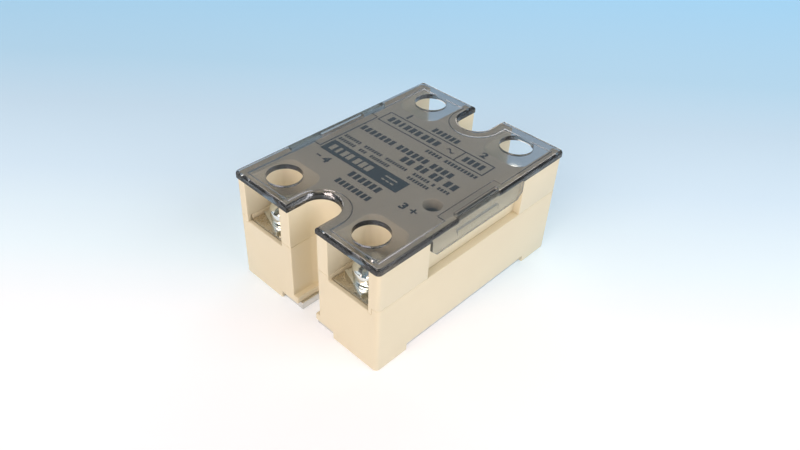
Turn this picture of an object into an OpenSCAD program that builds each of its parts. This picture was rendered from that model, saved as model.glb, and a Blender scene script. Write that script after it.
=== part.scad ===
// Solid state relay for panel or heat sink mounting: a two-shell plastic case on a metal base
// plate, a clear smoke terminal cover, four screw terminals and the switching circuit inside.
// Millimetres. The origin is the middle of the base plate's underside. +Z is up, +Y points to
// the load terminals 1 and 2, and -Y to the input terminals 3 (plus) and 4 (minus).

/* [Case] */
// Length of the case between its two end faces
case_l = 58.0; // [57.8:0.1:58.4]
// Width of the case between its long sides
case_w = 42.8; // [42.6:0.1:43.0]
// Height of the case, from the base plate's underside to the label deck
case_h = 26.6; // [26.4:0.1:27.0]
// Height of the seam between the lower and the upper shell
seam_z = 17.2; // [17.1:0.1:17.4]
// Radius of the case's upright corners
corner_r = 1.0; // [0.8:0.1:1.4]
// Thickness of the case's outer walls
wall = 2.0; // [1.8:0.1:2.1]
// Thickness of the label deck
deck_t = 1.4; // [1.2:0.1:1.6]
// Length of the pocket in each long side
side_pocket_l = 30.0; // [29.8:0.1:30.4]
// Depth of the pocket in each long side
side_pocket_depth = 1.8; // [1.7:0.1:1.9]

/* [Fixing] */
// Distance between the two fixing screws
fixing_pitch = 47.6; // [47.4:0.1:47.8]
// Radius of the round fixing hole in the base plate
fixing_hole_r = 2.25; // [2.15:0.05:2.4]
// Half the width of the open fixing slot in the base plate
fixing_slot_r = 2.5; // [2.3:0.1:2.6]
// Half the width of the notch in each end of the case and cover
notch_r = 4.25; // [4.1:0.05:4.4]
// Distance of each notch's round end from the middle
notch_y = 24.2; // [24.0:0.1:24.4]
// Half the opening of the plastic ledge at the foot of each notch
ledge_r = 3.0; // [2.8:0.1:3.2]
// Height of the top of that ledge
ledge_z = 3.8; // [3.6:0.1:4.2]

/* [Base plate] */
// Thickness of the base plate
plate_t = 2.0; // [1.9:0.1:2.2]
// How far the base plate stands in from the case's outline
plate_inset = 0.9; // [0.8:0.1:1.0]
// How far the base plate stands out below the plastic
plate_proud = 0.15; // [0.1:0.05:0.2]

/* [Terminals] */
// Distance of the terminal screws from the long centre line
terminal_x = 13.0; // [12.9:0.1:13.1]
// Distance of the terminal screws from the short centre line
terminal_y = 22.7; // [22.6:0.1:22.8]
// Width of each terminal bay
bay_w = 11.4; // [11.3:0.1:11.5]
// Distance of each bay's inner wall from the short centre line
bay_inner_y = 16.5; // [16.4:0.1:16.7]
// Radius of each bay's inner corners
bay_corner_r = 3.0; // [2.0:0.5:4.0]
// Height of the sill that each bay opens over
sill_z = 16.0; // [15.9:0.1:16.1]
// Height of the contact face of the terminal plates
contact_z = 16.2; // [16.1:0.1:16.3]
// Thickness of the terminal plates
strip_t = 1.2; // [1.0:0.1:1.2]

/* [Fasteners] */
// Thread radius of the terminal screws, M4
screw_r = 2.0; // [2.0:0.05:2.0]
// Length of the screws below the head
shank_l = 8.0; // [7.6:0.1:8.2]
// Radius of the pan heads
head_r = 3.7; // [3.5:0.1:3.8]
// Height of the pan heads
head_h = 2.9; // [2.6:0.1:3.0]
// Side of the square clamp washers
clamp_w = 7.9; // [7.6:0.1:8.0]
// Thickness of the square clamp washers and of the spring washers
washer_t = 0.9; // [0.8:0.1:0.9]
// How far the clamp washers are turned, as they were left by the screwdriver
clamp_turn = -19; // [-40:1:40]

/* [Cover] */
// Length of the cover
cover_l = 58.6; // [58.5:0.1:58.8]
// Width of the cover
cover_w = 43.2; // [43.2:0.1:43.4]
// Thickness of the cover's top
cover_t = 1.2; // [1.1:0.1:1.3]
// Height of the cover's rim
rim_h = 1.7; // [1.6:0.1:1.8]
// Width of the cover's rim
rim_w = 2.0; // [1.8:0.1:2.1]
// Radius of the screwdriver holes
access_r = 3.9; // [3.8:0.05:4.1]
// Length of each side tab
tab_l = 29.2; // [29.0:0.1:29.3]
// Thickness of each side tab
tab_t = 1.0; // [0.9:0.05:1.0]
// Height of each tab's lower edge
tab_z = 22.5; // [22.2:0.1:22.8]
// Length of the slot above each snap hook
window_l = 13.1; // [12.8:0.1:13.4]

/* [Indicator] */
// Position of the indicator, from the long centre line
led_x = 14.1; // [13.9:0.1:14.3]
// Position of the indicator, towards the input end
led_y = 6.6; // [6.4:0.1:6.8]
// Radius of the well in the deck that its light comes up through
well_r = 2.1; // [2.0:0.05:2.2]
// Depth of that well
well_depth = 2.6; // [2.4:0.1:2.8]

/* [Hidden] */
TERMINALS = [1, 2, 3, 4];
$fn = 64;
far = 20; // how far a cutter runs past the faces it cuts
skin = 0.01; // how far a cutter runs into a space that is already open

plate_l = case_l - 2 * plate_inset;
plate_w = case_w - 2 * plate_inset;
plate_corner_r = 0.6;
skirt_cut_l = 40; // length of the gap in the skirt along each long side
skirt_cut_w = 16.8; // width of the gap in the skirt at each end

// the circuit's room
cavity_x = case_w / 2 - wall;
cavity_y = 16.0;
upper_cavity_y = bay_inner_y - 1.5;
pocket_x = case_w / 2 - side_pocket_depth;
upper_cavity_x = pocket_x - 1.4;

// what stands around each terminal
strip_w = bay_w - 0.4;
strip_end_y = case_l / 2 - 1.0;
strip_z = contact_z - strip_t;
strip_bend_y = cavity_y - strip_t;
clear_r = screw_r + 0.2;
nut_w = 7.0;
nut_t = 3.0;
nut_fit = 0.05; // clearance around the nut, and between its bore and the screw
spring_z = contact_z + washer_t;
head_z = spring_z + washer_t;
shank_end_z = head_z - shank_l;
spring_inner_r = screw_r + 0.2;
spring_outer_r = 3.5;
leg_w = 0.9; // the two feet of the upper shell beside each bay
leg_z = 15.6;

// the cover
cover_z = case_h + rim_h;
cover_under_z = cover_z - cover_t;
tab_x = cover_w / 2 - tab_t;
tab_chamfer = 1.5;
window_w = 1.0;
jog_x = 17.6; // the rim steps in to here around each hook slot
jog_l = 17.8;
barb_z = tab_z + 0.7;
barb_h = 1.4;
barb_depth = 0.65;

// the indicator
led_r = 1.5;
led_top_z = case_h - well_depth;
well_wall = 0.8;

// the power circuit on the base plate
ceramic_t = 0.63;
copper_t = 0.3;
chip_w = 7.0;
chip_t = 0.4;
chip_x = 6.0;
chip_y = 4.0;
clip_t = 0.4;
pad_z = plate_t + ceramic_t;
pad_top_z = pad_z + copper_t;
chip_top_z = pad_top_z + chip_t;

// the circuit board and what stands on it
board_t = 1.6;
board_z = 11.5;
board_top_z = board_z + board_t;
board_x = 18.8;
board_near_y = -15.8;
board_far_y = 13.8;
lead_r = 0.3;
hole_r = 0.45;
lead_end_z = board_z - 0.8;
tip_z = board_top_z + 0.7;
input_pin_r = 0.6;
input_pin_y = -13.0;
coupler = [1.5, -1.0];
capacitor = [-9.5, 8.5];
varistor_at = [9.5, 9.0];
transistor = [5.5, -10.5];
PINS = [[-4.0, -3.2], [4.0, -3.2], [-12.5, 1.5], [12.5, 1.5]];
// axial parts lying on the board: x, y, turn, radius, length
SNUBBER_RESISTOR = [[9.5, 4.2, 0, 1.7, 9.0]];
GATE_RESISTORS = [[-12.5, -3.6, 90, 1.1, 6.0], [-9.0, -3.6, 90, 1.1, 6.0]];
INPUT_RESISTORS = [for (row = [0:2]) [-5.0, -13.0 + 2.6 * row, 0, 0.9, 4.2]];
INPUT_DIODE = [[3.2, -7.6, 0, 1.3, 4.4]];
AXIAL_PARTS = concat(SNUBBER_RESISTOR, GATE_RESISTORS, INPUT_RESISTORS, INPUT_DIODE);

function terminal_at(n) = [(n == 1 || n == 4) ? -terminal_x : terminal_x, n <= 2 ? terminal_y : -terminal_y];
// how the slot of each screw was left
function head_turn(n) = [20, 65, -67, -80][n - 1];
// the two holes of an axial part, or the row of holes of an upright one
function axial_holes(p) = [for (s = [-1, 1]) [p[0], p[1]] + s * (p[4] / 2 + 1.2) * [cos(p[2]), sin(p[2])]];
function row_holes(at, pitch, count) = [for (i = [0:count - 1]) at + [pitch * (i - (count - 1) / 2), 0]];
COUPLER_HOLES = concat(row_holes(coupler + [0, 3.81], 2.54, 3), row_holes(coupler - [0, 3.81], 2.54, 3));
CAPACITOR_HOLES = row_holes(capacitor, 10.0, 2);
VARISTOR_HOLES = row_holes(varistor_at, 5.0, 2);
TRANSISTOR_HOLES = row_holes(transistor, 1.27, 3);
LED_HOLES = row_holes([led_x, -led_y], 2.0, 2);

// a slab between two heights, drawn from the flat shape it is given
module slab(z0, z1) {
    translate([0, 0, z0]) linear_extrude(z1 - z0) children();
}

module rounded_rectangle(l, w, r) {
    square([w, l - 2 * r], center = true);
    square([w - 2 * r, l], center = true);
    for (sx = [-1, 1], sy = [-1, 1])
        translate([sx * (w / 2 - r), sy * (l / 2 - r)]) circle(r);
}

// a U-shaped notch that opens at the end on the given side
module end_notch(r, side) {
    translate([0, side * notch_y]) circle(r);
    translate([0, side * (notch_y + far / 2)]) square([2 * r, far], center = true);
}

module end_notches(r) {
    for (side = [-1, 1]) end_notch(r, side);
}

// what it is given, repeated at all four corners
module at_corners() {
    for (mx = [0, 1], my = [0, 1]) mirror([mx, 0, 0]) mirror([0, my, 0]) children();
}

module at_terminal(n) {
    translate(terminal_at(n)) children();
}

module base_plate() {
    color("lightgray") slab(0, plate_t) difference() {
        rounded_rectangle(plate_l, plate_w, plate_corner_r);
        translate([0, fixing_pitch / 2]) circle(fixing_hole_r);
        translate([0, -fixing_pitch / 2]) circle(fixing_slot_r);
        translate([0, -fixing_pitch / 2 - far / 2]) square([2 * fixing_slot_r, far], center = true);
    }
}

// the flat shape of one bay, with rounded inner corners
module bay() {
    flat_y = bay_inner_y + bay_corner_r;
    translate([terminal_x - bay_w / 2, flat_y]) square([bay_w, far]);
    translate([terminal_x - bay_w / 2 + bay_corner_r, bay_inner_y]) square([bay_w - 2 * bay_corner_r, far]);
    for (s = [-1, 1]) translate([terminal_x + s * (bay_w / 2 - bay_corner_r), flat_y]) circle(bay_corner_r);
}

// the seat of one terminal plate, its nut pocket and the room for the screw's end
module terminal_seat() {
    translate([terminal_x - bay_w / 2, cavity_y - skin, strip_z])
        cube([bay_w, strip_end_y - cavity_y + skin, far]);
    translate([terminal_x - bay_w / 2, strip_end_y - skin, sill_z]) cube([bay_w, far, far]);
    pocket_w = nut_w + 2 * nut_fit;
    translate([terminal_x - pocket_w / 2, terminal_y - pocket_w / 2, strip_z - nut_t]) cube([pocket_w, pocket_w, far]);
    translate([terminal_x, terminal_y, shank_end_z - 0.5]) cylinder(h = far, r = screw_r + 0.5);
}

// the hollow under each terminal seat, which keeps the wall thickness even
module corner_core() {
    translate([8.5, 18.3, plate_t - skin]) cube([cavity_x - 8.5, 8.7, 5.5]);
}

module leg_notch() {
    translate([terminal_x + bay_w / 2 - skin, strip_end_y - 0.2, leg_z]) cube([leg_w + skin, far, far]);
}

module lower_case() {
    color("blanchedalmond") {
        difference() {
            slab(plate_proud, seam_z) difference() {
                rounded_rectangle(case_l, case_w, corner_r);
                end_notches(ledge_r);
            }
            slab(ledge_z, seam_z + 1) end_notches(notch_r);
            slab(0, plate_t) rounded_rectangle(plate_l, plate_w, plate_corner_r);
            slab(0, plate_t) square([case_w + 2, skirt_cut_l], center = true);
            slab(0, plate_t) square([skirt_cut_w, case_l + 2], center = true);
            slab(plate_t - skin, seam_z + 1) square([2 * cavity_x, 2 * cavity_y], center = true);
            at_corners() terminal_seat();
            at_corners() corner_core();
            at_corners() leg_notch();
        }
        board_rails();
    }
}

// four rails inside the long walls that carry the circuit board
module board_rails() {
    for (side = [-1, 1], y = [-11, 8])
        translate([side * (cavity_x - 0.95), y, (plate_t + board_z) / 2])
            cube([2.0, 2.4, board_z - plate_t], center = true);
}

module upper_case() {
    color("blanchedalmond") {
        difference() {
            slab(seam_z, case_h) difference() {
                rounded_rectangle(case_l, case_w, corner_r);
                end_notches(notch_r);
                at_corners() bay();
                for (side = [-1, 1])
                    translate([side * (pocket_x + far / 2), 0]) square([far, side_pocket_l], center = true);
            }
            slab(seam_z - 1, case_h - deck_t)
                square([2 * upper_cavity_x, 2 * upper_cavity_y], center = true);
            translate([led_x, -led_y, case_h - deck_t - 1]) cylinder(h = far, r = well_r);
        }
        lamp_well();
        at_corners() upper_case_leg();
        at_corners() strip_hold_down();
        for (side = [-1, 1]) translate([side * (cavity_x - 0.55), 0, seam_z - 0.65]) cube([1.0, 11, 1.3], center = true);
    }
}

// the collar under the deck that carries the lamp's well down to the lamp
module lamp_well() {
    translate([led_x, -led_y, case_h - well_depth]) difference() {
        cylinder(h = well_depth - deck_t + skin, r = well_r + well_wall);
        translate([0, 0, -1]) cylinder(h = far, r = well_r);
    }
}

// the foot beside each bay, which drops into the lower shell's sill
module upper_case_leg() {
    translate([terminal_x + bay_w / 2, strip_end_y, leg_z]) cube([leg_w, case_l / 2 - strip_end_y, seam_z - leg_z]);
}

// the tongue under each bay's inner wall, which holds the terminal plate down
module strip_hold_down() {
    translate([terminal_x, (cavity_y + bay_inner_y) / 2, (contact_z + seam_z) / 2])
        cube([strip_w - 1, 0.5, seam_z - contact_z], center = true);
}

module terminal_cover() {
    color([0.35, 0.38, 0.4, 0.5]) {
        difference() {
            slab(case_h, cover_z) difference() {
                rounded_rectangle(cover_l, cover_w, corner_r);
                end_notches(notch_r);
                for (side = [-1, 1])
                    translate([side * (tab_x - window_w / 2), 0]) square([window_w, window_l], center = true);
            }
            slab(case_h - 1, cover_under_z) cover_underside();
            for (n = TERMINALS) at_terminal(n) translate([0, 0, case_h]) cylinder(h = far, r = access_r);
        }
        for (side = [0, 1]) mirror([side, 0, 0]) side_tab();
    }
}

// the flat shape inside the rim, which goes round the notches and the hook slots
module cover_underside() {
    difference() {
        square([cover_w - 2 * rim_w, cover_l - 2 * rim_w], center = true);
        end_notches(notch_r + rim_w);
        for (side = [-1, 1])
            translate([side * (jog_x + far / 2), 0]) square([far, jog_l], center = true);
    }
}

// a tab that hangs into the side pocket, with a snap hook on its inner face
module side_tab() {
    half = tab_l / 2;
    tab_outline = [
        [chamfer_y(-1), tab_z], [chamfer_y(1), tab_z], [half, tab_z + tab_chamfer],
        [half, case_h + skin], [-half, case_h + skin], [-half, tab_z + tab_chamfer]
    ];
    barb_outline = [[0, 0], [-barb_depth, barb_h], [0, barb_h]];
    translate([tab_x, 0, 0]) rotate([90, 0, 90]) linear_extrude(tab_t) polygon(tab_outline);
    translate([tab_x + skin, window_l / 2, barb_z]) rotate([90, 0, 0]) linear_extrude(window_l) polygon(barb_outline);
}

function chamfer_y(side) = side * (tab_l / 2 - tab_chamfer);

// the part of a terminal that lies in the bay, and its bend down into the case, for terminal 2
module terminal_strip(leg_end_z) {
    difference() {
        translate([-strip_w / 2, strip_bend_y, strip_z]) cube([strip_w, strip_end_y - strip_bend_y, strip_t]);
        translate([0, terminal_y, strip_z - 1]) cylinder(h = far, r = clear_r);
    }
    translate([-3, strip_bend_y, leg_end_z]) cube([6, strip_t, strip_z - leg_end_z + skin]);
}

module load_terminal(side) {
    color("silver") translate([side * terminal_x, 0, 0]) {
        terminal_strip(pad_top_z);
        translate([-3, strip_bend_y - 4.5, pad_top_z]) cube([6, 4.5 + skin, strip_t]);
    }
}

module input_terminal(side) {
    color("silver") translate([side * terminal_x, 0, 0]) {
        mirror([0, 1, 0]) terminal_strip(board_top_z);
        translate([-3, -strip_bend_y - skin, board_top_z]) cube([6, 3.0, strip_t]);
        translate([0, input_pin_y, lead_end_z]) cylinder(h = board_top_z + skin - lead_end_z, r = input_pin_r);
    }
}

module terminal_nuts() {
    color("gainsboro") for (n = TERMINALS) at_terminal(n) difference() {
        translate([-nut_w / 2, -nut_w / 2, strip_z - nut_t]) cube([nut_w, nut_w, nut_t]);
        translate([0, 0, strip_z - nut_t - 1]) cylinder(h = nut_t + 2, r = screw_r + nut_fit);
    }
}

module square_washer(n) {
    color("silver") at_terminal(n) rotate(clamp_turn) difference() {
        translate([-clamp_w / 2, -clamp_w / 2, contact_z]) cube([clamp_w, clamp_w, washer_t]);
        translate([0, 0, contact_z - 1]) cylinder(h = washer_t + 2, r = clear_r);
    }
}

// a split ring, with a gap of 14 degrees
module spring_washer(n) {
    color("silver") at_terminal(n) rotate(head_turn(n) + 50) translate([0, 0, spring_z])
        rotate_extrude(angle = 346) translate([spring_inner_r, 0])
            square([spring_outer_r - spring_inner_r, washer_t]);
}

// a pan head with a slot across it and a cross recess, on a plain shank of the thread's radius
module terminal_screw(n) {
    rim_z = head_h * 0.55;
    dome = [for (a = [0:10:90]) [head_r * cos(a), rim_z + (head_h - rim_z) * sin(a)]];
    color("gainsboro") at_terminal(n) rotate(head_turn(n)) {
        translate([0, 0, head_z]) difference() {
            rotate_extrude() polygon(concat([[0, 0], [head_r, 0]], dome));
            translate([0, 0, head_h]) cube([2 * head_r + 1, 1.1, 2.4], center = true);
            for (a = [0, 90]) rotate(a) translate([0, 0, head_h]) cube([4.6, 1.0, 3.4], center = true);
        }
        translate([0, 0, shank_end_z]) cylinder(h = shank_l + skin, r = screw_r);
    }
}

module ceramic_substrate() {
    color("white") slab(plate_t, pad_z) translate([-17, -6]) square([34, 21.6]);
}

module copper_pads() {
    color("peru") slab(pad_z, pad_top_z) for (side = [-1, 1]) {
        translate([side * 8.5, 7.6]) square([15, 15.2], center = true);
        translate([side * 4, -3.2]) square([4, 3.4], center = true);
    }
}

module thyristor_chips() {
    color("dimgray") slab(pad_top_z, chip_top_z) for (side = [-1, 1])
        translate([side * chip_x, chip_y]) square(chip_w, center = true);
}

// each clip takes the top of one chip to the other chip's pad
module copper_clips() {
    color("peru") for (turn = [0, 180]) translate([0, chip_y, 0]) rotate(turn) translate([0, -2, 0]) {
        translate([-7.5, -1, chip_top_z]) cube([9.6, 2, clip_t]);
        translate([1.3, -1, pad_top_z]) cube([0.8, 2, chip_t + skin]);
    }
}

// gate and cathode pins that join the power circuit to the board
module gate_pins() {
    color("gold") for (p = PINS) translate([p[0], p[1], pad_top_z]) cylinder(h = tip_z - pad_top_z, r = 0.35);
}

module holes(points, r) {
    for (p = points) translate([p[0], p[1], board_z - 1]) cylinder(h = board_t + 2, r = r);
}

// leads from a height down through the board
module leads(points, z) {
    for (p = points) translate([p[0], p[1], lead_end_z]) cylinder(h = z - lead_end_z, r = lead_r);
}

module circuit_board() {
    color("darkgreen") difference() {
        translate([-board_x, board_near_y, board_z]) cube([2 * board_x, board_far_y - board_near_y, board_t]);
        holes(PINS, 0.5);
        holes([[-terminal_x, input_pin_y], [terminal_x, input_pin_y]], input_pin_r + 0.1);
        holes(COUPLER_HOLES, hole_r);
        holes(CAPACITOR_HOLES, hole_r);
        holes(VARISTOR_HOLES, hole_r);
        holes(TRANSISTOR_HOLES, hole_r);
        holes(LED_HOLES, hole_r);
        for (p = AXIAL_PARTS) holes(axial_holes(p), hole_r);
    }
}

module axial_parts(parts, name) {
    color(name) for (p = parts) {
        axis_z = board_top_z + p[3] + 0.05;
        leads(axial_holes(p), axis_z);
        translate([p[0], p[1], axis_z]) rotate(p[2]) rotate([0, 90, 0]) {
            cylinder(h = p[4], r = p[3], center = true);
            cylinder(h = p[4] + 2.4 + 2 * lead_r, r = lead_r, center = true);
        }
    }
}

module phototriac_coupler() {
    color("white") {
        translate([coupler[0], coupler[1], board_top_z + 2.5]) cube([8.8, 6.4, 3.4], center = true);
        leads(COUPLER_HOLES, board_top_z + 2.5);
        for (p = COUPLER_HOLES)
            translate([p[0], (p[1] + coupler[1]) / 2, board_top_z + 2.5]) cube([1.2, 3.81, 0.5], center = true);
    }
}

module snubber_capacitor() {
    color("goldenrod") {
        translate([capacitor[0], capacitor[1], board_top_z + 5.5]) cube([15, 6, 10.6], center = true);
        leads(CAPACITOR_HOLES, board_top_z + 1);
    }
}

module varistor() {
    color("royalblue") {
        translate([varistor_at[0], varistor_at[1], board_top_z + 6.2]) rotate([90, 0, 0])
            cylinder(h = 3.6, r = 5.0, center = true);
        leads(VARISTOR_HOLES, board_top_z + 3);
    }
}

module input_transistor() {
    color("black") {
        translate([transistor[0], transistor[1], board_top_z + 3]) difference() {
            cylinder(h = 4.6, r = 2.3);
            translate([-3, -4.6, -1]) cube([6, 3, 7]);
        }
        leads(TRANSISTOR_HOLES, board_top_z + 3.5);
    }
}

module indicator_led() {
    flange_z = led_top_z - led_r - 4.6;
    color("palegreen") translate([led_x, -led_y, 0]) {
        translate([0, 0, flange_z]) cylinder(h = 1.0, r = led_r + 0.4);
        translate([0, 0, flange_z]) cylinder(h = 4.6, r = led_r);
        translate([0, 0, led_top_z - led_r]) difference() {
            sphere(led_r);
            translate([0, 0, -led_r]) cube(2 * led_r, center = true);
        }
    }
    color("palegreen") leads(LED_HOLES, flange_z + 0.5);
}

// a tube that holds the lamp up under its well
module led_spacer() {
    color("ivory") translate([led_x, -led_y, board_top_z]) difference() {
        cylinder(h = led_top_z - led_r - 4.6 - board_top_z, r = led_r + 0.4);
        translate([0, 0, -1]) cylinder(h = far, r = led_r);
    }
}

base_plate();
lower_case();
upper_case();
terminal_cover();
load_terminal(-1);  // load_terminal_1
load_terminal(1);  // load_terminal_2
input_terminal(1);  // input_terminal_plus
input_terminal(-1);  // input_terminal_minus
terminal_nuts();
for (n = TERMINALS) {
    square_washer(n);
    spring_washer(n);
    terminal_screw(n);
}
ceramic_substrate();
copper_pads();
thyristor_chips();
copper_clips();
gate_pins();
circuit_board();
phototriac_coupler();
snubber_capacitor();
axial_parts(SNUBBER_RESISTOR, "saddlebrown");  // snubber_resistor
varistor();
axial_parts(GATE_RESISTORS, "tan");  // gate_resistors
axial_parts(INPUT_RESISTORS, "tan");  // input_resistors
axial_parts(INPUT_DIODE, "black");  // input_diode
input_transistor();
indicator_led();
led_spacer();
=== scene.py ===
"""Looks for the solid state relay: finer pieces, print, materials, floor, light and camera.

Everything is in metres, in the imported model's own frame. Millimetre values are multiplied by MM.
"""

import math

import bmesh
import bpy
from mathutils import Matrix, Vector


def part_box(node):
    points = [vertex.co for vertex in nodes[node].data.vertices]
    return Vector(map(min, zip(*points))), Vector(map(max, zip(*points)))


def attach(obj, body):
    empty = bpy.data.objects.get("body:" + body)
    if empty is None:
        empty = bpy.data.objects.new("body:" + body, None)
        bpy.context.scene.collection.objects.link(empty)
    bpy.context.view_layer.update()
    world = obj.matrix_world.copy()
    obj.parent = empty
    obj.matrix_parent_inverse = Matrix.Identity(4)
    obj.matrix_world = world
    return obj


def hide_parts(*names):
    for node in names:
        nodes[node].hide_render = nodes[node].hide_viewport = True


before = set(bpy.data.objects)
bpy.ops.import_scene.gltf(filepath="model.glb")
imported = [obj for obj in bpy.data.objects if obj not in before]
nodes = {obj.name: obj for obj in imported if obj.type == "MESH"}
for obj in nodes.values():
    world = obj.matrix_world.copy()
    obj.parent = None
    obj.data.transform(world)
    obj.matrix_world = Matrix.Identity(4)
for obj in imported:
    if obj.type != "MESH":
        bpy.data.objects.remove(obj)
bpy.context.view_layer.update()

MM = 0.001
TERMINALS = (1, 2, 3, 4)
# how each terminal screw's slot was left, in degrees
HEAD_TURN = {1: 20, 2: 65, 3: -67, 4: -80}

# points closer than this are one point, and faces that turn by less than this are one plane
SAME_POINT = 0.001 * MM
SAME_PLANE = math.radians(0.5)
# edges that turn by more degrees than this are rounded
SHARP = 30


# ---------------------------------------------------------------- mesh helpers


def piece_from(bm, name, body, materials, replaced=(), smooth_angle=35):
    """Makes a piece with that mesh, riding on a body and standing for the named CAD nodes."""
    mesh = bpy.data.meshes.new(name)
    bm.to_mesh(mesh)
    bm.free()
    for polygon in mesh.polygons:
        polygon.use_smooth = True
    mesh.set_sharp_from_angle(angle=math.radians(smooth_angle))
    obj = bpy.data.objects.new(name, mesh)
    bpy.context.scene.collection.objects.link(obj)
    obj.modifiers.new("normals", "WEIGHTED_NORMAL").keep_sharp = True
    for m in materials:
        mesh.materials.append(m)
    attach(obj, body)
    if replaced:
        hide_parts(*replaced)


def sharp_edges(bm, degrees=SHARP):
    """The edges where two faces meet at more than that angle."""
    limit = math.radians(degrees)
    return [e for e in bm.edges if len(e.link_faces) == 2 and e.calc_face_angle(0.0) > limit]


def clean(bm):
    """Joins split vertices and merges coplanar triangles, so that edges can be rounded."""
    bmesh.ops.remove_doubles(bm, verts=bm.verts, dist=SAME_POINT)
    bmesh.ops.dissolve_limit(bm, angle_limit=SAME_PLANE, verts=bm.verts, edges=bm.edges)


def bevel_edges(bm, edges, width, segments, clamp=False):
    """Rounds those edges. Clamped, the rounding stops where two would overlap."""
    bmesh.ops.bevel(
        bm,
        geom=edges,
        offset=width,
        offset_type="OFFSET",
        segments=segments,
        profile=0.5,
        affect="EDGES",
        clamp_overlap=clamp,
    )


def round_edges(bm, width, segments=2, degrees=SHARP):
    """Rounds all the sharp edges of a cleaned mesh."""
    bevel_edges(bm, sharp_edges(bm, degrees), width, segments, clamp=True)


def add_box(bm, x0, y0, z0, x1, y1, z1):
    """Adds a closed box between two corners, and returns its points."""
    made = bmesh.ops.create_cube(bm, size=1.0)["verts"]
    centre = Vector((x0 + x1, y0 + y1, z0 + z1)) / 2
    size = Vector((x1 - x0, y1 - y0, z1 - z0))
    for v in made:
        v.co = Vector((v.co.x * size.x, v.co.y * size.y, v.co.z * size.z)) + centre
    return made


def lathe(bm, profile, steps):
    """Adds a closed turned shape. The profile runs from the axis to the axis, as (radius, height)."""
    rings = []
    for radius, height in profile:
        if radius == 0:
            rings.append([bm.verts.new((0, 0, height))])
        else:
            angles = (2 * math.pi * k / steps for k in range(steps))
            rings.append([bm.verts.new((radius * math.cos(a), radius * math.sin(a), height)) for a in angles])
    for low, high in zip(rings, rings[1:]):
        for k in range(steps):
            n = (k + 1) % steps
            if len(low) == 1:
                bm.faces.new((low[0], high[n], high[k]))
            elif len(high) == 1:
                bm.faces.new((low[k], low[n], high[0]))
            else:
                bm.faces.new((low[k], low[n], high[n], high[k]))


def cut_away(bm, cutter):
    """The mesh with the cutter's shape cut out of it. Both meshes are used up."""
    made = []
    for part, name in ((bm, "cut_body"), (cutter, "cut_tool")):
        mesh = bpy.data.meshes.new(name)
        part.to_mesh(mesh)
        part.free()
        obj = bpy.data.objects.new(name, mesh)
        bpy.context.scene.collection.objects.link(obj)
        made.append(obj)
    step = made[0].modifiers.new("cut", "BOOLEAN")
    step.operation = "DIFFERENCE"
    step.solver = "EXACT"
    step.object = made[1]
    evaluated = made[0].evaluated_get(bpy.context.evaluated_depsgraph_get())
    out = bmesh.new()
    out.from_mesh(evaluated.to_mesh())
    evaluated.to_mesh_clear()
    for obj in made:
        mesh = obj.data
        bpy.data.objects.remove(obj)
        bpy.data.meshes.remove(mesh)
    return out


def soften(name, width, segments):
    """Rounds a CAD node's edges with modifiers, so that its own mesh stays as it is."""
    obj = nodes[name]
    weld = obj.modifiers.new("weld", "WELD")
    weld.merge_threshold = SAME_POINT
    flat = obj.modifiers.new("planar", "DECIMATE")
    flat.decimate_type = "DISSOLVE"
    flat.angle_limit = SAME_PLANE
    bevel = obj.modifiers.new("bevel", "BEVEL")
    bevel.width = width
    bevel.segments = segments
    bevel.limit_method = "ANGLE"
    bevel.angle_limit = math.radians(SHARP)
    bevel.harden_normals = True
    bevel.use_clamp_overlap = False
    for polygon in obj.data.polygons:
        polygon.use_smooth = True


# ---------------------------------------------------------------- materials


def material(name, **sockets):
    """A material with a Principled shader, and that shader's sockets set from the keywords."""
    made = bpy.data.materials.new(name)
    made.use_nodes = True
    shader = made.node_tree.nodes["Principled BSDF"]
    for socket, value in sockets.items():
        shader.inputs[socket.replace("_", " ")].default_value = value
    return made


def add(tree, kind, **settings):
    """A new shader node of that kind, with those settings."""
    node = tree.nodes.new(kind)
    for key, value in settings.items():
        setattr(node, key, value)
    return node


# the range that nearly all of a noise's values lie in
NOISE_MIDDLE = (0.3, 0.7)


def noise(tree, scale, detail=2.0):
    """A noise texture in the object's own coordinates, with features about 1/scale metres across."""
    where = tree.nodes.get("where") or add(tree, "ShaderNodeTexCoord", name="where")
    made = add(tree, "ShaderNodeTexNoise")
    made.inputs["Scale"].default_value = scale
    made.inputs["Detail"].default_value = detail
    tree.links.new(where.outputs["Object"], made.inputs["Vector"])
    return made.outputs["Fac"]


def ramp(tree, source, stops):
    """A colour ramp from (position, colour) stops."""
    made = add(tree, "ShaderNodeValToRGB")
    while len(made.color_ramp.elements) < len(stops):
        made.color_ramp.elements.new(0.5)
    for element, (position, colour) in zip(made.color_ramp.elements, stops):
        element.position = position
        element.color = (*colour, 1.0)
    tree.links.new(source, made.inputs["Fac"])
    return made.outputs["Color"]


def map_range(tree, source, from_low, from_high, to_low, to_high):
    """Maps one range of the source to another, and holds what lies outside it at the ends."""
    made = add(tree, "ShaderNodeMapRange")
    ends = {"From Min": from_low, "From Max": from_high, "To Min": to_low, "To Max": to_high}
    for socket, value in ends.items():
        made.inputs[socket].default_value = value
    tree.links.new(source, made.inputs["Value"])
    return made.outputs["Result"]


def spread(tree, source, low, high):
    """Maps a noise's middle range to low..high."""
    return map_range(tree, source, *NOISE_MIDDLE, low, high)


def bump(tree, source, strength, distance):
    """A surface normal tilted as if the source were relief of that height, in metres."""
    made = add(tree, "ShaderNodeBump")
    made.inputs["Strength"].default_value = strength
    made.inputs["Distance"].default_value = distance
    tree.links.new(source, made.inputs["Height"])
    return made.outputs["Normal"]


GRAIN_DEPTH = 0.02 * MM


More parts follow.
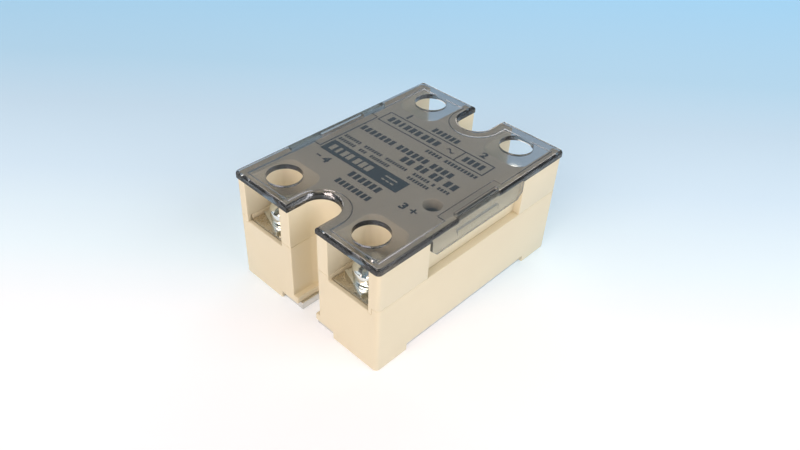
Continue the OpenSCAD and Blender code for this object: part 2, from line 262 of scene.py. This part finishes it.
def textured(name, dark, light, rough, grain=0.0, grain_scale=5000, tone_scale=60, **sockets):
    """A solid material whose colour, roughness and relief vary a little over the surface."""
    made = material(name, **sockets)
    tree = made.node_tree
    shader = tree.nodes["Principled BSDF"]
    tone = noise(tree, tone_scale, 3.0)
    tree.links.new(ramp(tree, tone, tuple(zip(NOISE_MIDDLE, (dark, light)))), shader.inputs["Base Color"])
    fine = noise(tree, grain_scale)
    tree.links.new(spread(tree, fine, *rough), shader.inputs["Roughness"])
    if grain:
        tree.links.new(bump(tree, fine, grain, GRAIN_DEPTH), shader.inputs["Normal"])
    return made


def metal(name, dark, light, rough, grain, grain_scale, tone_scale):
    """A bare metal whose colour, roughness and relief vary a little over the surface."""
    return textured(name, dark, light, rough, grain, grain_scale, tone_scale, Metallic=1.0)


# what the smoke plastic's haze scatters, how strongly it bends light, and how fine its ripple is
HAZE_COLOUR = (0.42, 0.45, 0.47)
SMOKE_IOR = 1.49
RIPPLE_SCALE = 900


def smoke_plastic(name, tint, rough, haze):
    """Clear tinted plastic that bends light, and lets lamps through as a tinted pane does.

    Haze is the share of light that the plastic scatters back, as moulded polycarbonate does.
    """
    made = bpy.data.materials.new(name)
    made.use_nodes = True
    tree = made.node_tree
    tree.nodes.remove(tree.nodes["Principled BSDF"])
    out = tree.nodes["Material Output"]
    glass = add(tree, "ShaderNodeBsdfGlass")
    glass.inputs["Color"].default_value = (*tint, 1.0)
    glass.inputs["IOR"].default_value = SMOKE_IOR
    tree.links.new(spread(tree, noise(tree, RIPPLE_SCALE), *rough), glass.inputs["Roughness"])
    milk = add(tree, "ShaderNodeBsdfDiffuse")
    milk.inputs["Color"].default_value = (*HAZE_COLOUR, 1.0)
    body = add(tree, "ShaderNodeMixShader")
    body.inputs[0].default_value = haze
    tree.links.new(glass.outputs[0], body.inputs[1])
    tree.links.new(milk.outputs[0], body.inputs[2])
    clear = add(tree, "ShaderNodeBsdfTransparent")
    clear.inputs["Color"].default_value = (*tint, 1.0)
    path = add(tree, "ShaderNodeLightPath")
    mix = add(tree, "ShaderNodeMixShader")
    tree.links.new(path.outputs["Is Shadow Ray"], mix.inputs[0])
    tree.links.new(body.outputs[0], mix.inputs[1])
    tree.links.new(clear.outputs[0], mix.inputs[2])
    tree.links.new(mix.outputs[0], out.inputs["Surface"])
    return made


CREAM = textured("cream_plastic", (0.734, 0.665, 0.498), (0.762, 0.694, 0.523), (0.42, 0.55), 0.35, IOR=1.5)
SHEET_TINT = (0.678, 0.681, 0.697)
SMOKE_TOP = smoke_plastic("smoke_plastic", SHEET_TINT, (0.02, 0.05), 0.01)
SMOKE_UNDER = smoke_plastic("smoke_plastic_matt", SHEET_TINT, (0.12, 0.18), 0.01)
SMOKE_EDGE = smoke_plastic("smoke_plastic_edge", (0.64, 0.65, 0.66), (0.10, 0.16), 0.04)
SMOKE_TAB = smoke_plastic("smoke_plastic_tab", (0.785, 0.785, 0.765), (0.14, 0.20), 0.08)
ZINC = metal("zinc_plated_steel", (0.74, 0.79, 0.80), (0.88, 0.90, 0.86), (0.10, 0.24), 0.2, 3000, 400)
NICKEL = metal("nickel_plated_brass", (0.60, 0.54, 0.44), (0.68, 0.62, 0.50), (0.22, 0.38), 0.25, 2500, 300)
PLATE = metal("base_plate_metal", (0.62, 0.61, 0.58), (0.72, 0.71, 0.68), (0.28, 0.42), 0.3, 2500, 200)
COPPER = metal("bare_copper", (0.60, 0.28, 0.17), (0.72, 0.38, 0.25), (0.25, 0.4), 0.2, 3000, 300)
INK = textured("print_ink", (0.018, 0.026, 0.034), (0.028, 0.038, 0.046), (0.5, 0.65))
BAR_INK = textured("print_bar_ink", (0.035, 0.058, 0.072), (0.045, 0.07, 0.085), (0.5, 0.65))
CERAMIC = textured("alumina", (0.84, 0.84, 0.80), (0.90, 0.90, 0.86), (0.3, 0.45), 0.2, 4000, 300)
SILICON = textured("silicon", (0.06, 0.065, 0.08), (0.09, 0.095, 0.11), (0.12, 0.2), 0.0, 3000, 500)
BOARD = textured("solder_mask", (0.012, 0.10, 0.035), (0.02, 0.13, 0.05), (0.25, 0.4), 0.2, 3000, 300)
WHITE = textured("white_package", (0.74, 0.74, 0.71), (0.80, 0.80, 0.77), (0.45, 0.6), 0.3, 4000, 300)
BLACK = textured("black_package", (0.015, 0.015, 0.016), (0.025, 0.025, 0.027), (0.45, 0.6), 0.3, 4000, 300)
FILM = textured("capacitor_film_case", (0.68, 0.40, 0.06), (0.76, 0.48, 0.09), (0.3, 0.42), 0.2, 4000, 300)
COAT = textured("resistor_lacquer", (0.55, 0.40, 0.25), (0.65, 0.49, 0.33), (0.35, 0.5), 0.3, 3000, 400)
BLUE = textured("varistor_epoxy", (0.02, 0.08, 0.30), (0.035, 0.12, 0.38), (0.35, 0.5), 0.3, 3000, 300)
RESIN = textured("lamp_resin", (0.035, 0.035, 0.030), (0.055, 0.055, 0.046), (0.06, 0.12), 0.0, 3000, 300)

NODE_LOOKS = {
    "lower_case": CREAM,
    "upper_case": CREAM,
    "base_plate": PLATE,
    "load_terminal_1": NICKEL,
    "load_terminal_2": NICKEL,
    "input_terminal_plus": NICKEL,
    "input_terminal_minus": NICKEL,
    "terminal_nuts": ZINC,
    "ceramic_substrate": CERAMIC,
    "copper_pads": COPPER,
    "thyristor_chips": SILICON,
    "copper_clips": COPPER,
    "gate_pins": NICKEL,
    "circuit_board": BOARD,
    "phototriac_coupler": WHITE,
    "snubber_capacitor": FILM,
    "snubber_resistor": COAT,
    "varistor": BLUE,
    "gate_resistors": COAT,
    "input_resistors": COAT,
    "input_diode": BLACK,
    "input_transistor": BLACK,
    "indicator_led": RESIN,
    "led_spacer": WHITE,
}
# how wide each node's edges are rounded, in millimetres, and in how many steps
NODE_EDGES = {
    "lower_case": (0.22, 3),
    "upper_case": (0.16, 3),
    "base_plate": (0.15, 2),
    "load_terminal_1": (0.12, 2),
    "load_terminal_2": (0.12, 2),
    "input_terminal_plus": (0.12, 2),
    "input_terminal_minus": (0.12, 2),
    "terminal_nuts": (0.2, 2),
}
for n in TERMINALS:
    NODE_LOOKS[f"square_washer_{n}"] = ZINC
    NODE_EDGES[f"square_washer_{n}"] = (0.14, 3)
for name, look in NODE_LOOKS.items():
    nodes[name].data.materials.clear()
    nodes[name].data.materials.append(look)
for name, (width, segments) in NODE_EDGES.items():
    soften(name, width * MM, segments)


# ---------------------------------------------------------------- terminal cover


def screw_place(n):
    """Where a terminal screw's axis stands."""
    low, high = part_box(f"terminal_screw_{n}")
    return (low.x + high.x) / 2, (low.y + high.y) / 2


SCREW_PLACES = {n: screw_place(n) for n in TERMINALS}
# the radius of the two notches, how far out their centres lie, and the radius of the screwdriver holes
NOTCH_R, NOTCH_Y, ACCESS_R = 4.25 * MM, 24.2 * MM, 3.9 * MM
# the cover's half width, half length and top, and the height of its sheet's underside
COVER_X, COVER_Y, COVER_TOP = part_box("terminal_cover")[1]
SHEET_Z = 27.1 * MM
# the label deck, which the cover's rim stands on
DECK_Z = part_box("upper_case")[1].z
# the looks of the cover's top, its sheet's underside, its tabs and its sides
COVER_LOOKS = (SMOKE_TOP, SMOKE_UNDER, SMOKE_TAB, SMOKE_EDGE)


def in_notch(p, margin):
    """Whether a point lies in either end's notch, or within the margin round it."""
    reach = NOTCH_R + margin
    return math.hypot(p.x, abs(p.y) - NOTCH_Y) < reach or (abs(p.x) < reach and abs(p.y) > NOTCH_Y)


def near_access_hole(p, margin):
    """Whether a point lies in a screwdriver hole, or within the margin round it."""
    return any(math.hypot(p.x - x, p.y - y) < ACCESS_R + margin for x, y in SCREW_PLACES.values())


def refine_arcs(bm, centres, radius, cuts=2):
    """Splits the short level edges that lie on those upright cylinders, and puts the new points on them."""
    on_arc, longest = 0.01 * MM, 0.4 * radius

    def centre_of(v):
        for x, y in centres:
            if abs(math.hypot(v.co.x - x, v.co.y - y) - radius) < on_arc:
                return x, y
        return None

    arcs = []
    for e in bm.edges:
        a, b = e.verts
        level = abs(a.co.z - b.co.z) < SAME_POINT and (a.co - b.co).length < longest
        if level and centre_of(a) and centre_of(a) == centre_of(b):
            arcs.append(e)
    made = bmesh.ops.subdivide_edges(bm, edges=arcs, cuts=cuts, use_grid_fill=True)
    for v in [g for g in made["geom_inner"] if isinstance(g, bmesh.types.BMVert)]:
        x, y = min(centres, key=lambda c: abs(math.hypot(v.co.x - c[0], v.co.y - c[1]) - radius))
        reach = math.hypot(v.co.x - x, v.co.y - y)
        v.co.x = x + (v.co.x - x) * radius / reach
        v.co.y = y + (v.co.y - y) * radius / reach


def near_outline(p, margin):
    """Whether a point lies within the margin of the cover's straight sides."""
    return abs(p.x) > COVER_X - margin or abs(p.y) > COVER_Y - margin


def round_cover(bm):
    """Rounds the cover's top outline widely, the step inside its rim less, and its other edges a little."""
    outline_width, step_width, fine_width = 0.85 * MM, 0.34 * MM, 0.12 * MM
    level, near, rim = 0.01 * MM, 0.3 * MM, 1.2 * MM
    outline, step = [], []
    for e in sharp_edges(bm):
        middle = (e.verts[0].co + e.verts[1].co) / 2
        if abs(middle.z - COVER_TOP) < level and (near_outline(middle, rim) or in_notch(middle, near)):
            outline.append(e)
        elif abs(middle.z - SHEET_Z) < level and not near_access_hole(middle, near):
            step.append(e)
    bevel_edges(bm, outline, outline_width, 6)
    bevel_edges(bm, [e for e in step if e.is_valid], step_width, 3)
    round_edges(bm, fine_width)
    bm.normal_update()


def sort_cover_faces(bm):
    """Gives the cover's tabs, sides and underside their own looks. All its other faces keep the top's."""
    side_margin, above_deck = 0.8 * MM, 0.2 * MM
    level_up, facing_down = 0.9, -0.5
    for f in bm.faces:
        middle = f.calc_center_median()
        if middle.z < DECK_Z:
            f.material_index = COVER_LOOKS.index(SMOKE_TAB)
        elif f.normal.z < level_up and (near_outline(middle, side_margin) or in_notch(middle, side_margin)):
            f.material_index = COVER_LOOKS.index(SMOKE_EDGE)
        elif f.normal.z < facing_down and middle.z > DECK_Z + above_deck:
            f.material_index = COVER_LOOKS.index(SMOKE_UNDER)


def make_cover():
    """Makes the smoke cover, with rounded edges, and its rim a hair above the deck."""
    gap = 0.03 * MM
    bm = bmesh.new()
    bm.from_mesh(nodes["terminal_cover"].data)
    clean(bm)
    refine_arcs(bm, [(0, NOTCH_Y), (0, -NOTCH_Y)], NOTCH_R)
    refine_arcs(bm, SCREW_PLACES.values(), ACCESS_R)
    for v in bm.verts:
        if abs(v.co.z - DECK_Z) < SAME_POINT:
            v.co.z += gap
    round_cover(bm)
    sort_cover_faces(bm)
    piece_from(bm, "smoke_cover", "cover", COVER_LOOKS, ["terminal_cover"])


make_cover()


# ---------------------------------------------------------------- terminal screws and spring washers

# the head's radius and height, the shank's radius and the thread's pitch
HEAD_R, HEAD_H, SHANK_R, PITCH = 3.7 * MM, 2.9 * MM, 2.0 * MM, 0.7 * MM
# the head's underside, which lies on the spring washer, and the shank's lower end
HEAD_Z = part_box("spring_washer_1")[1].z
SHANK_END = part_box("terminal_screw_1")[0].z


def head_blank():
    """A pan head before it is cut: a straight rim under a quarter ellipse, its underside at height 0."""
    edge, rim, steps = 0.12 * MM, 0.55 * HEAD_H, 12
    profile = [(0, 0), (HEAD_R - edge, 0), (HEAD_R, edge), (HEAD_R, rim)]
    for k in range(1, steps):
        a = math.pi / 2 * k / steps
        profile.append((HEAD_R * math.cos(a), rim + (HEAD_H - rim) * math.sin(a)))
    profile.append((0, HEAD_H))
    head = bmesh.new()
    lathe(head, profile, 72)
    return head


def screw_head():
    """A pan head with a slot right across it and a tapered cross recess."""
    slot_reach, slot_half, slot_depth, slot_over = 5 * MM, 0.55 * MM, 1.2 * MM, 1.0 * MM
    wing_reach, wing_half, wing_depth, wing_over = 2.3 * MM, 0.5 * MM, 1.7 * MM, 0.3 * MM
    # what is left of a wing's length and width at the bottom of the recess
    taper_long, taper_wide = 0.45, 0.75
    slot = bmesh.new()
    add_box(slot, -slot_reach, -slot_half, HEAD_H - slot_depth, slot_reach, slot_half, HEAD_H + slot_over)
    head = cut_away(head_blank(), slot)
    for turn in (0, 90):
        wing = bmesh.new()
        made = add_box(
            wing, -wing_reach, -wing_half, HEAD_H - wing_depth, wing_reach, wing_half, HEAD_H + wing_over
        )
        for v in made:
            if v.co.z < HEAD_H:
                v.co.x *= taper_long
                v.co.y *= taper_wide
        quarter = Matrix.Rotation(math.radians(turn), 3, "Z")
        bmesh.ops.rotate(wing, verts=wing.verts, cent=(0, 0, 0), matrix=quarter)
        head = cut_away(head, wing)
    clean(head)
    round_edges(head, 0.05 * MM, degrees=35)
    return head


def thread(bm, top, bottom):
    """A shank with a right-hand thread, cut flat at both heights."""
    steps, rows = 36, 8
    depth = 0.38 * MM
    # the ridge's profile over one pitch: root, flank, crest, flank
    radii = [SHANK_R - depth * d for d in (1.0, 1.0, 0.66, 0.33, 0.0, 0.0, 0.33, 0.66)]
    # the turns between the two heights, with spare ones past both ends for the cuts to take off
    turns = int((top - bottom) / PITCH) + 3
    grid = []
    for i in range(turns * rows + rows + 1):
        row = []
        for k in range(steps):
            a = 2 * math.pi * k / steps
            z = bottom - PITCH * 2 + PITCH * (i / rows + k / steps)
            r = radii[i % rows]
            row.append(bm.verts.new((r * math.cos(a), r * math.sin(a), z)))
        grid.append(row)
    for i in range(len(grid) - 1 - rows):
        for k in range(steps - 1):
            bm.faces.new((grid[i][k], grid[i][k + 1], grid[i + 1][k + 1], grid[i + 1][k]))
        last = steps - 1
        bm.faces.new((grid[i][last], grid[i + rows][0], grid[i + rows + 1][0], grid[i + 1][last]))
    loose = [v for v in bm.verts if not v.link_faces]
    bmesh.ops.delete(bm, geom=loose, context="VERTS")
    for height, normal in ((bottom, (0, 0, -1)), (top, (0, 0, 1))):
        cut = bmesh.ops.bisect_plane(
            bm,
            geom=bm.verts[:] + bm.edges[:] + bm.faces[:],
            plane_co=(0, 0, height),
            plane_no=normal,
            clear_outer=True,
        )
        rim = [e for e in cut["geom_cut"] if isinstance(e, bmesh.types.BMEdge)]
        bmesh.ops.contextual_create(bm, geom=rim)


def make_screw(n):
    """Makes a terminal screw, its threaded shank sunk a hair into its head."""
    x, y = SCREW_PLACES[n]
    sunk = 0.02 * MM
    bm = screw_head()
    shaft = bmesh.new()
    thread(shaft, sunk, SHANK_END - HEAD_Z)
    mesh = bpy.data.meshes.new("shaft")
    shaft.to_mesh(mesh)
    shaft.free()
    bm.from_mesh(mesh)
    bpy.data.meshes.remove(mesh)
    place = Matrix.Translation((x, y, HEAD_Z)) @ Matrix.Rotation(math.radians(HEAD_TURN[n]), 4, "Z")
    bm.transform(place)
    bmesh.ops.recalc_face_normals(bm, faces=bm.faces)
    body, replaced = f"screw_{n}", [f"terminal_screw_{n}"]
    piece_from(bm, f"{body}_detailed", body, (ZINC,), replaced, smooth_angle=40)


def make_spring_washer(n):
    """Makes a split ring of rectangular wire that climbs a little from one end to the other."""
    name = f"spring_washer_{n}"
    x, y = SCREW_PLACES[n]
    low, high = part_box(name)
    inner, outer, climb = 2.2 * MM, 3.5 * MM, 0.12 * MM
    thick = high.z - low.z - climb
    # where round the screw the wire starts and how far round it runs, in degrees
    start, sweep, steps = HEAD_TURN[n] + 50, 346, 60
    bm = bmesh.new()
    rings = []
    for k in range(steps + 1):
        a = math.radians(start + sweep * k / steps)
        z = low.z + climb * k / steps
        corners = ((inner, z), (outer, z), (outer, z + thick), (inner, z + thick))
        rings.append([bm.verts.new((x + r * math.cos(a), y + r * math.sin(a), h)) for r, h in corners])
    for one, two in zip(rings, rings[1:]):
        for k in range(4):
            m = (k + 1) % 4
            bm.faces.new((one[k], one[m], two[m], two[k]))
    bm.faces.new(rings[0])
    bm.faces.new(rings[-1])
    bmesh.ops.recalc_face_normals(bm, faces=bm.faces)
    round_edges(bm, 0.1 * MM)
    piece_from(bm, f"{name}_split", f"washers_{n}", (ZINC,), [name])


for n in TERMINALS:
    make_screw(n)
    make_spring_washer(n)


# ---------------------------------------------------------------- print on the label deck

# the top of the print, the top of what lies on the dark bar, and how deep the print is set into the deck
INK_Z = DECK_Z + 0.012 * MM
OVER_BAR_Z = INK_Z + 0.01 * MM
INK_SUNK = 0.01 * MM
# blocks of plain print: their pitch as a share of the line's height, and how much of the pitch comes before a
# block and is filled by it
BLOCK_PITCH, BLOCK_START, BLOCK_WIDTH = 0.74, 0.14, 0.72


def plate(bm, outline, top=INK_Z):
    """Adds a very thin closed plate with that outline, in millimetres, on the deck."""
    low = [bm.verts.new((x * MM, y * MM, DECK_Z - INK_SUNK)) for x, y in outline]
    high = [bm.verts.new((x * MM, y * MM, top)) for x, y in outline]
    bm.faces.new(high)
    bm.faces.new(low[::-1])
    for k in range(len(outline)):
        m = (k + 1) % len(outline)
        bm.faces.new((low[k], low[m], high[m], high[k]))


def rect(bm, x0, y0, x1, y1, top=INK_Z):
    """Adds a printed rectangle between two corners."""
    plate(bm, ((x0, y0), (x1, y0), (x1, y1), (x0, y1)), top)


def words(bm, x, y, height, lengths, gap=0, top=INK_Z):
    """A line of print shown as plain blocks, a short row of them for each word."""
    for length in lengths:
        count = max(1, round(length / (height * BLOCK_PITCH)))
        pitch = length / count
        for k in range(count):
            left = x + pitch * (k + BLOCK_START)
            rect(bm, left, y - height / 2, left + pitch * BLOCK_WIDTH, y + height / 2, top)
        x += length + gap


def wave(bm, x, y, length, height, width):
    """Adds the alternating current sign."""
    steps = 16
    upper, lower = [], []
    for k in range(steps + 1):
        t = k / steps
        px, py = x + length * t, y + height / 2 * math.sin(2 * math.pi * t)
        upper.append((px, py + width / 2))
        lower.append((px, py - width / 2))
    plate(bm, lower + upper[::-1])


def terminal_number(bm, n, x, y):
    """Adds a terminal's number in plain bold figures, centred on x and y."""
    height, bold, stretch, half_thick = 2.1, 0.13, 1.15, 0.011 * MM
    # the share of the font's size that its figures are tall
    figure_share = 0.729
    curve = bpy.data.curves.new("number", "FONT")
    curve.body = str(n)
    curve.align_x = "CENTER"
    curve.size = height / figure_share * MM
    curve.offset = bold * MM
    curve.extrude = half_thick
    curve.resolution_u = 3
    obj = bpy.data.objects.new("number", curve)
    bpy.context.scene.collection.objects.link(obj)
    evaluated = obj.evaluated_get(bpy.context.evaluated_depsgraph_get())
    mesh = bpy.data.meshes.new_from_object(evaluated)
    place = Matrix.Translation((x * MM, (y - height / 2) * MM, INK_Z - half_thick))
    mesh.transform(place @ Matrix.Diagonal((stretch, 1, 1, 1)))
    bm.from_mesh(mesh)
    bpy.data.meshes.remove(mesh)
    bpy.data.objects.remove(obj)
    bpy.data.curves.remove(curve)


def frame_lines(bm, x0, y0, x1, y1, line):
    """Adds the four lines of a box."""
    for ax, ay, bx, by in (
        (x0, y0, x1, y0 + line),
        (x0, y1 - line, x1, y1),
        (x0, y0 + line, x0 + line, y1 - line),
        (x1 - line, y0 + line, x1, y1 - line),
    ):
        rect(bm, ax, ay, bx, by)


def make_print():
    """Makes the label's dark marks, its dark bar and the pale marks on the bar. Places are in millimetres."""
    dark = bmesh.new()
    # the rating box with its divider
    frame_lines(dark, -17.3, 8.6, 6.5, 13.4, 0.34)
    frame_lines(dark, 6.15, 8.6, 14.6, 13.4, 0.34)
    words(dark, -15.6, 11.0, 2.2, (3.4, 1.1, 5.2, 5.4), 0.3)
    wave(dark, 2.4, 11.0, 2.4, 1.0, 0.5)
    words(dark, 7.4, 11.0, 2.2, (5.9,))
    for n, x, y in ((1, -12.7, 15.0), (2, 9.9, 15.3), (3, 10.4, -11.1), (4, -12.5, -11.5)):
        terminal_number(dark, n, x, y)
    # the plus sign, in three bars that only touch, and the minus sign
    rect(dark, 12.1, -11.25, 13.9, -10.85)
    rect(dark, 12.8, -11.95, 13.2, -11.25)
    rect(dark, 12.8, -10.85, 13.2, -10.15)
    rect(dark, -15.7, -11.75, -14.3, -11.35)
    # every other line of print, as plain blocks: its start, its height, its words' lengths and their gap
    for x, y, height, lengths, gap in (
        (-5.2, 15.0, 1.9, (8.0,), 0),
        (-0.4, 7.2, 1.2, (4.6, 9.2), 1.0),
        (-17.3, 3.7, 2.0, (10.6, 9.2, 6.4), 0.9),
        (-2.0, 1.0, 2.2, (3.6, 3.2, 3.2, 3.6), 0.9),
        (-17.2, -1.7, 1.0, (5.2, 5.4, 6.4), 1.2),
        (-17.2, -3.5, 1.0, (5.2, 2.2, 5.8), 1.3),
        (3.9, -1.5, 1.0, (4.6, 1.0, 3.2), 0.7),
        (3.9, -3.3, 1.0, (6.0,), 0),
        (-5.6, -11.2, 2.0, (9.4,), 0),
        (-5.8, -14.8, 1.7, (10.2,), 0),
    ):
        words(dark, x, y, height, lengths, gap)
    piece_from(dark, "print_marks", "housing", (INK,))
    bar = bmesh.new()
    rect(bar, -17.2, -9.3, 6.2, -4.8)
    piece_from(bar, "print_input_bar", "housing", (BAR_INK,))
    light = bmesh.new()
    words(light, -16.0, -7.1, 2.2, (1.6, 1.1, 3.4, 5.4), 0.5, OVER_BAR_Z)
    # the direct current sign: a line over three dashes
    rect(light, 0.5, -6.55, 3.9, -6.15, OVER_BAR_Z)
    for k in range(3):
        rect(light, 0.5 + 1.25 * k, -7.85, 1.4 + 1.25 * k, -7.45, OVER_BAR_Z)
    piece_from(light, "print_light_marks", "housing", (CREAM,))


make_print()


# ---------------------------------------------------------------- floor, light and camera

# where the camera looks from, its roll, how far off it is, where it aims, and its lens and sensor in mm
AZIMUTH, ELEVATION, ROLL = (math.radians(a) for a in (42.238, 38.894, 2.949))
DISTANCE = 163.5 * MM
TARGET = Vector((2.943, -3.750, 13.788)) * MM
LENS, SENSOR = 32.87, 36.0
# level, straight away from the camera
AWAY = Vector((-math.sin(AZIMUTH), math.cos(AZIMUTH), 0))


def make_camera():
    """Makes the camera, with its three axes worked out from where it looks."""
    back = Vector((0, 0, math.sin(ELEVATION))) - AWAY * math.cos(ELEVATION)
    right = Vector((0, 0, 1)).cross(back).normalized()
    up = back.cross(right)
    across = right * math.cos(ROLL) + up * math.sin(ROLL)
    upward = up * math.cos(ROLL) - right * math.sin(ROLL)
    data = bpy.data.cameras.new("camera")
    data.lens = LENS
    data.sensor_width = SENSOR
    data.clip_start, data.clip_end = 0.01, 20
    camera = bpy.data.objects.new("camera", data)
    place = TARGET + back * DISTANCE
    rows = [[across[k], upward[k], back[k], place[k]] for k in range(3)]
    camera.matrix_world = Matrix(rows + [[0, 0, 0, 1]])
    bpy.context.scene.collection.objects.link(camera)
    bpy.context.scene.camera = camera


# the floor's half side, how far it lies under the base plate, and how much of its own light it gives
FLOOR_REACH, FLOOR_DROP, FLOOR_GLOW = 3.0, 0.03 * MM, 0.46
# its colours, from nearest the camera to furthest, and where that run of tone starts and ends, in metres
FLOOR_NEAR, FLOOR_FAR = -0.025, 0.175
FLOOR_TONES = (
    (0.0, (0.757, 0.757, 0.785)),
    (0.12, (0.644, 0.732, 0.793)),
    (0.28, (0.518, 0.633, 0.740)),
    (0.45, (0.437, 0.563, 0.680)),
    (0.62, (0.357, 0.531, 0.678)),
    (1.0, (0.294, 0.523, 0.729)),
)


def make_floor():
    """Makes a pale light table, white under the relay and pale blue further away."""
    bm = bmesh.new()
    ways = ((-1, -1), (1, -1), (1, 1), (-1, 1))
    bm.faces.new([bm.verts.new((x * FLOOR_REACH, y * FLOOR_REACH, -FLOOR_DROP)) for x, y in ways])
    mesh = bpy.data.meshes.new("floor")
    bm.to_mesh(mesh)
    bm.free()
    floor = bpy.data.objects.new("floor", mesh)
    bpy.context.scene.collection.objects.link(floor)
    look = material("pale_floor", Roughness=0.9, Specular_IOR_Level=0.1)
    tree = look.node_tree
    shader = tree.nodes["Principled BSDF"]
    where = add(tree, "ShaderNodeTexCoord")
    along = add(tree, "ShaderNodeVectorMath", operation="DOT_PRODUCT")
    along.inputs[1].default_value = AWAY
    tree.links.new(where.outputs["Object"], along.inputs[0])
    share = map_range(tree, along.outputs["Value"], FLOOR_NEAR, FLOOR_FAR, 0.0, 1.0)
    colour = ramp(tree, share, FLOOR_TONES)
    tree.links.new(colour, shader.inputs["Base Color"])
    tree.links.new(colour, shader.inputs["Emission Color"])
    shader.inputs["Emission Strength"].default_value = FLOOR_GLOW
    mesh.materials.append(look)


# what every light aims at, and the light that comes from all round
LIT_POINT = (0, 0, 0.015)
SKY_COLOUR, SKY_STRENGTH = (0.9, 0.95, 1.0, 1.0), 0.02
# each light's place, width and height in metres, its watts and its colour
LIGHTS = {
    "overhead": ((0.05, 0.05, 0.6), (0.7, 0.7), 0.5, (1.0, 1.0, 0.9)),
    "front": ((0.10, -0.62, 0.40), (0.5, 0.4), 3.8, (1.0, 0.83, 0.72)),
    "left": ((-0.45, -0.40, 0.42), (0.6, 0.5), 0.8, (0.85, 0.93, 1.0)),
    "right": ((0.6, 0.15, 0.35), (0.6, 0.5), 3.05, (0.98, 0.95, 0.94)),
    "backdrop": (AWAY * 0.9 + Vector((0, 0, 0.62)), (1.6, 0.8), 2.9, (0.62, 0.86, 1.0)),
    "rear": ((-0.34, 0.66, 0.16), (0.5, 0.3), 2.2, (1.0, 0.91, 0.80)),
}


def area_light(name, place, size, watts, colour):
    """Makes a rectangular lamp aimed at the relay."""
    data = bpy.data.lights.new(name, "AREA")
    data.shape = "RECTANGLE"
    data.size, data.size_y = size
    data.energy = watts
    data.color = colour
    obj = bpy.data.objects.new(name, data)
    obj.location = place
    obj.rotation_euler = (Vector(LIT_POINT) - Vector(place)).to_track_quat("-Z", "Y").to_euler()
    bpy.context.scene.collection.objects.link(obj)


def make_light():
    """Makes the even light from all round, and the lamps."""
    world = bpy.data.worlds.new("studio")
    world.use_nodes = True
    sky = world.node_tree.nodes["Background"]
    sky.inputs["Color"].default_value = SKY_COLOUR
    sky.inputs["Strength"].default_value = SKY_STRENGTH
    bpy.context.scene.world = world
    for name, light in LIGHTS.items():
        area_light(name, *light)


make_camera()
make_floor()
make_light()
bpy.context.scene.view_settings.view_transform = "Standard"
bpy.context.scene.view_settings.look = "None"
